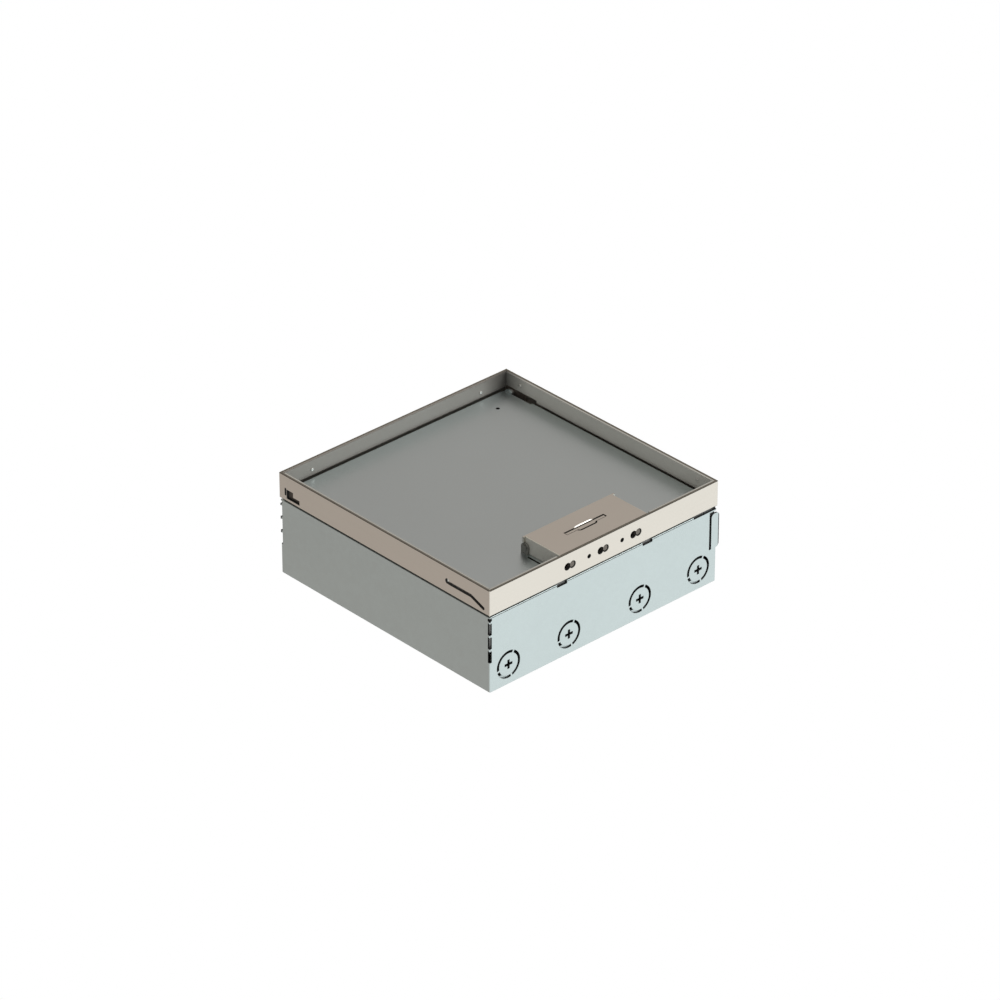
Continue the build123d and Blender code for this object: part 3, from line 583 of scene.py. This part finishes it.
white_plastic = (0.82, 0.82, 0.79)
plastic_grime_and_shade = (0.45, 0.45, 0.43)
brass = (0.76, 0.58, 0.28)
jack_apart = 0.009
jack_wires = 8
wire_pitch = 0.00102
wire_thick = 0.00045
wire_long = 0.0125
wire_drop = 0.010
wire_tilt = 0.45


def glossy_moulded(start, place, colour, roughness):
    """Smooth white moulding, faintly dusty."""
    cloud = noise(start, place, scale=40.0, detail=3.0)
    skin = worn_and_shaded(start, shaded(start, colour, 0.95 + cloud * 0.06), plastic_grime_and_shade, fine_reach)
    bump = bumped(start, strength=0.04, height=noise(start, place, scale=2200.0))
    return {"Base Color": skin, "Roughness": roughness + cloud * 0.12, "Normal": bump}


def rolled(start, place, colour, roughness):
    """Rolled spring brass with faint stains."""
    cloud = noise(start, place, scale=90.0, detail=4.0)
    return {"Base Color": shaded(start, colour, 0.82 + cloud * 0.26), "Roughness": roughness + cloud * 0.14}


def wire_row(base, given):
    """Slanted wires on points."""
    thick = given["Thickness"]
    size = base.add("ShaderNodeCombineXYZ", {}, {"X": thick, "Y": given["Length"], "Z": thick})
    wire = base.add("GeometryNodeMeshCube", {}, {"Size": size})
    slanted = base.add("GeometryNodeTransform", {}, {"Geometry": wire, "Rotation": (wire_tilt, 0.0, 0.0)})
    return on_points(base, slanted)


module_white = finish("socket_plastic", white_plastic, roughness=0.26, metallic=0.0, change=glossy_moulded)
brass_strip = finish("brass_contacts", brass, roughness=0.22, metallic=1.0, change=rolled)
for node in ("power_socket_1", "power_socket_2", "power_socket_3", "data_socket"):
    paint(node, module_white)
paint("contact_sleeves", brass_strip)
paint("earth_clips", brass_strip)

data_low, data_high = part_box("data_socket")
data_middle = (data_low + data_high) / 2
steps = [(step - (jack_wires - 1) / 2) * wire_pitch for step in range(jack_wires)]
wire_x = [data_middle.x + side * jack_apart + step for side in (-1, 1) for step in steps]
wire_places = [(x, data_middle.y, data_high.z - wire_drop) for x in wire_x]
wire_sizes = {"Thickness": wire_thick, "Length": wire_long}
grown("jack_wires", points(wire_places, [up] * len(wire_places)), wire_sizes, wire_row, brass_strip,
      nodes["data_socket"]["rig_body"])

# Cable relief and earth stud.
# A galvanised channel on the base with three plated saddles, and a welded threaded stud with its washer and
# nut.

thread_sides = 20
ridge_share = 0.09
ridge_sides = 4
skin_share = 0.75
core_sink = 1.6

paint("strain_relief_rail", galvanised)
paint("cable_clamps", zinc_plate)
paint("earth_nut", zinc_plate)


def ridge(base, given):
    """A rod with a rolled thread: a spiral ridge round its core, moved to the rod's place."""
    wide = given["Radius"] * ridge_share
    middle = given["Radius"] - wide
    winding = {"Resolution": thread_sides, "Rotations": given["Length"] / given["Pitch"],
               "Start Radius": middle, "End Radius": middle, "Height": given["Length"]}
    spiral = base.add("GeometryNodeCurveSpiral", {}, winding)
    profile = base.add("GeometryNodeCurvePrimitiveCircle", {}, {"Resolution": ridge_sides, "Radius": wide})
    sweep = {"Curve": spiral, "Profile Curve": profile, "Fill Caps": True}
    thread = moved(base.add("GeometryNodeCurveToMesh", {}, sweep), 0.0, 0.0, given["Low"])
    whole = base.add("GeometryNodeJoinGeometry", {}, {"Geometry": [base, thread]})
    return moved(whole, given["X"], given["Y"], 0.0)


def add_thread(node, pitch, plain):
    """Replaces a smooth CAD rod by one with a thread that leaves its ends plain."""
    low, high = solids(node)[0]
    middle, radius = (low + high) / 2, (high.x - low.x) / 2
    shape = merged(node)
    bmesh.ops.translate(shape, verts=shape.verts, vec=(-middle.x, -middle.y, 0))
    for vert in shape.verts:
        if vert.co.xy.length > skin_share * radius:
            vert.co.xy *= 1 - core_sink * ridge_share
    core = bpy.data.meshes.new(node + "_core")
    shape.to_mesh(core)
    shape.free()
    sizes = {"Radius": radius, "Pitch": pitch, "Length": high.z - low.z - 2 * plain, "Low": low.z + plain,
             "X": middle.x, "Y": middle.y}
    piece = grown(node + "_threaded", core, sizes, ridge, zinc_plate, nodes[node]["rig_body"])
    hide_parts(node)


add_thread("earth_stud", pitch=0.001, plain=0.0006)

# Collar, ledge and levelling lugs.
# The collar is a skirt of sheet with a dull grey passivated zinc, which slides inside the casing. Its grey is
# darker than the casing's zinc, partly painted shade, so that the seam and the slots in front of it read
# dark.
# The ledge for the lid is welded inside the frame, the lugs to the foot of the collar and the nuts to the
# lugs.

passivated_and_shade_tone = (0.25, 0.255, 0.25)

# The darker grey is partly painted shade in the seam and in the slots in front of the collar.
passivated_and_shade = finish("passivated_and_shade_sheet", passivated_and_shade_tone, roughness=0.5, metallic=0.9, change=spangle)
for node in ("collar", "lid_ledge", "levelling_lugs"):
    paint(node, passivated_and_shade)
paint("levelling_nuts", zinc_plate)

# Levelling screws.
# Four zinc-plated threaded rods with a hexagon socket. They turn in the lugs of the collar and lift the frame
# to the level of the floor.

for number in (1, 2, 3, 4):
    add_thread(f"levelling_screw_{number}", pitch=0.00125, plain=0.0008)

# Frame.
# A square band of stainless sheet, belt-ground along its length, with punched keyholes, a Z slot for the
# lid stay and windows at the hinges. Its sheared rim is dull and its outer edges are dark: along the top
# the dark cut edge, along the bottom a painted shadow of the seam under the frame.

frame_sheet = 0.002
frame_line = 0.0004
hole_line = 0.0004
stainless_tone = (0.686, 0.66, 0.596)
stainless_grime_and_shade = (0.13, 0.115, 0.095)
rim_top_tone = (0.22, 0.205, 0.17)
rim_line_and_seam_shade_tone = (0.055, 0.051, 0.042)
holes_within = 0.125
rim_margin = 0.001


def ground(start, place, colour, roughness):
    """Belt-ground stainless sheet: faint lines along the band, darker along its edges."""
    drawn = start.add("ShaderNodeMapping", {}, {"Vector": place, "Scale": (4.0, 4.0, 700.0)})
    lines = noise(start, drawn, scale=3.0, detail=3.0)
    skin = shaded(start, colour, 0.945 + lines * 0.06 + noise(start, place, scale=14.0) * 0.04)
    return {"Base Color": worn_and_shaded(start, skin, stainless_grime_and_shade), "Roughness": roughness - 0.05 + lines * 0.1,
            "Normal": bumped(start, strength=0.05, height=lines)}


stainless = finish("stainless_outer", stainless_tone, roughness=0.36, metallic=1.0, change=ground)
rim_top = finish("frame_rim", rim_top_tone, roughness=0.5, metallic=0.8, change=dragged)
# Along the frame's bottom this near-black line is painted shadow of the seam under it.
rim_line_and_seam_shade = finish("frame_edge_and_seam_shade", rim_line_and_seam_shade_tone, roughness=0.9, metallic=0.0, change=dragged)
band_low, band_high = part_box("frame_band")
band_pick = band_faces(band_high.x, frame_sheet, band_high.z, band_low.z)


def band_finish(centre, normal):
    """0 on the skins of the band, 2 on the walls of its holes, 3 on its rim."""
    return 3 if near(centre.z, band_high.z) else 2 * band_pick(centre, normal)


def frame_rim(middle):
    """The outer edges of the frame's top and bottom, whose dark bevels along the bottom are painted shadow of
    the seam.
    """
    outside = near(max(abs(middle.x), abs(middle.y)), band_high.x)
    return outside and near(middle.z, band_low.z, band_high.z)


def frame_holes(middle):
    """The outer edges of the holes in the front, rear and side walls."""
    across = (abs(middle.x), abs(middle.y))
    outside = near(max(across), band_high.x) and min(across) < holes_within
    return outside and band_low.z + rim_margin < middle.z < band_high.z - rim_margin


dress("frame_band", (stainless, rim_line_and_seam_shade, bare_edge, rim_top), band_finish,
      (frame_line, 1, 2, frame_rim), (hole_line, 2, 1, frame_holes))

# Trim strips.
# Five strips of thinner stainless inside the frame, dull and grey, riveted to it. The rear strip is painted
# darker than the side strips as painted shade, their tops carry a painted highlight, and painted shade
# darkens them towards the hinge in the rear right corner.

rear_strip_shade_tone = (0.31, 0.30, 0.275)
side_strip_tone = (0.54, 0.55, 0.51)
strip_top_highlight_tone = (0.80, 0.80, 0.70)
strip_grime_and_shade = (0.09, 0.085, 0.075)
corner_shade_from = 0.222
corner_shade_over = 0.028


def dulled(start, place, colour, roughness):
    """Pickled stainless strip: fine grain, broad soft clouds, and painted shade towards the rear right
    corner.
    """
    cloud = noise(start, place, scale=22.0, detail=3.0)
    x = start.add("ShaderNodeSeparateXYZ", {}, {"Vector": place}, "X")
    # Painted shade: the colour darkens towards the rear right corner, by x plus y.
    past = (x + x.other("Y") - corner_shade_from) / corner_shade_over
    corner_shade = start.maths("MINIMUM", start.maths("MAXIMUM", past, 0.0), 1.0)
    level = (0.86 + noise(start, place, scale=800.0) * 0.1 + cloud * 0.16) * (1.0 - corner_shade * 0.75)
    skin = worn_and_shaded(start, shaded(start, colour, level), strip_grime_and_shade)
    return {"Base Color": skin, "Roughness": roughness - 0.06 + cloud * 0.14}


def strip_faces(centre, normal):
    """1 on the top of a strip, 0 elsewhere."""
    return 1 if normal.z > square_on and near(centre.z, band_high.z) else 0


# The rear strip's darker tone is painted shade. The side strips keep the plain tone.
rear_strip_shade = finish("rear_strip_shade", rear_strip_shade_tone, roughness=0.5, metallic=0.35, change=dulled)
side_strip = finish("side_strip", side_strip_tone, roughness=0.5, metallic=0.35, change=dulled)
# The light, metallic tone on the strips' tops is a painted highlight.
strip_top_highlight = finish("strip_top_highlight", strip_top_highlight_tone, roughness=0.45, metallic=1.0, change=dragged)
dress("rear_trim", (rear_strip_shade, strip_top_highlight), strip_faces)
for node in ("left_trim", "right_trim", "front_trim_left", "front_trim_right"):
    dress(node, (side_strip, strip_top_highlight), strip_faces)

# Rivets of the trim strips.
# Blind rivets of bright aluminium: a low dome with the hole that the mandrel leaves.

rivet_tone = (0.62, 0.62, 0.59)
mandrel_share = 0.33
bore_sides = 16


def blind_rivet(base, given):
    """A low dome with a round hole in its middle."""
    bore = rod(base, bore_sides, given["Radius"] * mandrel_share, given["Height"])
    return on_points(base, domed(base, given["Radius"], given["Height"], bore))


rivet_metal = finish("rivet_metal", rivet_tone, roughness=0.3, metallic=1.0, change=plated)
rivet_seats, rivet_ways = [], []
for low, high in solids("trim_rivets"):
    span, middle = high - low, (low + high) / 2
    axis = 0 if span.x < span.y else 1
    way = Vector((0, 0, 0))
    way[axis] = -math.copysign(1, middle[axis])
    rivet_seats.append(middle - way * span[axis] / 2)
    rivet_ways.append(way)
rivet_sizes = {"Radius": span.z / 2, "Height": span[axis]}
rivets = grown("rivet_heads", points(rivet_seats, rivet_ways), rivet_sizes, blind_rivet, rivet_metal,
               nodes["trim_rivets"]["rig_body"])
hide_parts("trim_rivets")

# Hinge bearings.
# Plates of black phosphated steel behind the hinge windows, each with a bore for a hinge pin. Their black is
# also painted shade, so that the windows read dark.

phosphate_and_shade_tone = (0.075, 0.066, 0.056)

# The black of this finish is also painted shade behind the hinge windows, the keyholes and the Z slot.
phosphated_and_shade = finish("phosphated_and_shade_steel", phosphate_and_shade_tone, roughness=0.5, metallic=0.5, change=moulded)
paint("hinge_bearing_left", phosphated_and_shade)
paint("hinge_bearing_right", phosphated_and_shade)

# Outlet bracket.
# A plate behind the front of the frame, hung on three studs in the keyholes, with a rubber lip that the
# cords press against. The plate is black, painted shade that keeps the open halves of the keyholes dark.

stud_tone = (0.17, 0.155, 0.135)
rubber_tone = (0.024, 0.024, 0.024)


def rubbery(start, place, colour, roughness):
    """Matt rubber with a fine skin."""
    grain = noise(start, place, scale=1200.0, detail=4.0)
    skin = shaded(start, colour, 0.8 + grain * 0.4)
    rough = roughness + grain * 0.1
    bump = bumped(start, strength=0.5, height=grain)
    return {"Base Color": skin, "Roughness": rough, "Normal": bump}


stud_steel = finish("stud_steel", stud_tone, roughness=0.42, metallic=1.0, change=plated)
rubber = finish("rubber_seal", rubber_tone, roughness=0.72, metallic=0.0, change=rubbery)
paint("outlet_bracket", phosphated_and_shade)
paint("outlet_studs", stud_steel)
paint("outlet_lip", rubber)

# Lid seal.
# A ring of closed-cell foam rubber, glued on the ledge under the lid plate.

paint("lid_seal", rubber)

# Lid plate and its stiffeners.
# Galvanised plate with a satin, slightly reflecting skin that carries the floor covering. Three hat rails
# are spot-welded under it.

lid_tone = (0.548, 0.618, 0.63)
lid_sheet = 0.002
lid_line = 0.0003
guard_high = 0.0002
lid_rim_gap = 0.0002


def satin(start, place, colour, roughness):
    """Skin-passed sheet: smooth, with faint broad clouds."""
    cloud = noise(start, place, scale=9.0, detail=3.0)
    skin = shaded(start, colour, 0.95 + cloud * 0.06 + noise(start, place, scale=700.0) * 0.04)
    return {"Base Color": worn_and_shaded(start, skin, zinc_grime_and_shade), "Roughness": roughness - 0.04 + cloud * 0.08}


lid_steel = finish("lid_sheet", lid_tone, roughness=0.32, metallic=1.0, change=satin)
lid_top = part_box("cord_guard")[1].z - guard_high
lid_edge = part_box("lid_plate")[1].x


def plate_faces(centre, normal):
    """0 on the flat faces and hinge eyes of the lid plate, 1 on its sheared edges."""
    return 1 if lid_top - lid_sheet < centre.z < lid_top and abs(normal.z) < square_on else 0


def lid_rim(middle):
    """The outer edge of the lid plate's top."""
    return near(middle.z, lid_top) and max(abs(middle.x), abs(middle.y)) > lid_edge - lid_rim_gap


dress("lid_plate", (lid_steel, bare_edge), plate_faces, (lid_line, 1, 2, lid_rim))
paint("lid_stiffeners", galvanised)

# Hinge pins, lid stay and its fittings.
# Turned and plated pins carry the lid. The stay is a flat plated arm with a black end pin, whose black is
# painted shade in the Z slot. The pin stops just short of the side of the frame, at the Z slot, because the
# linkage is opened there.

for node in ("hinge_pin_left", "hinge_pin_right", "lid_stay", "stay_bracket", "stay_pivot"):
    paint(node, zinc_plate)
paint("stay_end_pin", phosphated_and_shade)

# Flap ears, flap pins and cord guard.
# Two dull stainless ears on the lid plate with riveted pins, and a black edging round the cord way.

ear_tone = (0.20, 0.205, 0.19)

ear_steel = finish("ear_steel", ear_tone, roughness=0.42, metallic=0.6, change=dulled)
paint("flap_ears", ear_steel)
paint("flap_pins", ear_steel)
paint("cord_guard", black_nylon)

# Cord flap.
# A cap folded from the same stainless sheet as the frame. Its rounded folds at the sides and rear carry a
# painted highlight, its cheeks take the darker finish of the trim strips as painted shade, and the sloping
# lip behind the finger opening is painted near white as a painted highlight.

fold_radius = 0.0006
cheek_out = 0.049
bar_reach = 0.025
bar_margin = 0.001
fold_highlight_tone = (0.97, 0.98, 0.88)
lip_highlight_tone = (0.95, 0.92, 0.86)

# The near-white tone on the rounded folds is a painted highlight.
fold_highlight = finish("fold_highlight_edge", fold_highlight_tone, roughness=0.3, metallic=1.0, change=plated)
# The near-white tone on the sloping lip behind the finger opening is a painted highlight.
lip_highlight = finish("lip_painted_highlight", lip_highlight_tone, roughness=0.4, metallic=1.0, change=plated)
flap_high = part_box("cord_flap")[1]
handle_low, handle_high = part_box("pull_handle")


def flap_faces(centre, normal):
    """0 on the sheet of the flap, 2 on its lip, 3 on the walls of its slot, 4 on its cheeks."""
    if 0.5 < normal.z < square_on:
        return 2
    beside = handle_low.y - bar_margin < centre.y < handle_high.y + bar_margin
    if beside and abs(centre.x) < bar_reach and abs(normal.z) < 0.5:
        return 3
    return 4 if abs(normal.x) > square_on else 0


def flap_folds(middle):
    """The folds at the sides and the rear of the flap's top."""
    return near(middle.z, flap_high.z) and (near(abs(middle.x), cheek_out) or near(middle.y, flap_high.y))


# The cheeks take the trim strips' darker, duller finish as painted shade on the flap's sides.
flap_finishes = (stainless, fold_highlight, lip_highlight, bare_edge, side_strip)
dress("cord_flap", flap_finishes, flap_faces, (fold_radius, 1, 2, flap_folds))

# Pull handle.
# A stainless bar with a finger tab, flush in the flap, which slides up to lift the flap and the lid. Its
# edges are bare.


def handle_faces(centre, normal):
    """0 on the faces that look up or down, 1 on the others."""
    return 0 if abs(normal.z) > 0.5 else 1


dress("pull_handle", (stainless, bare_edge), handle_faces)
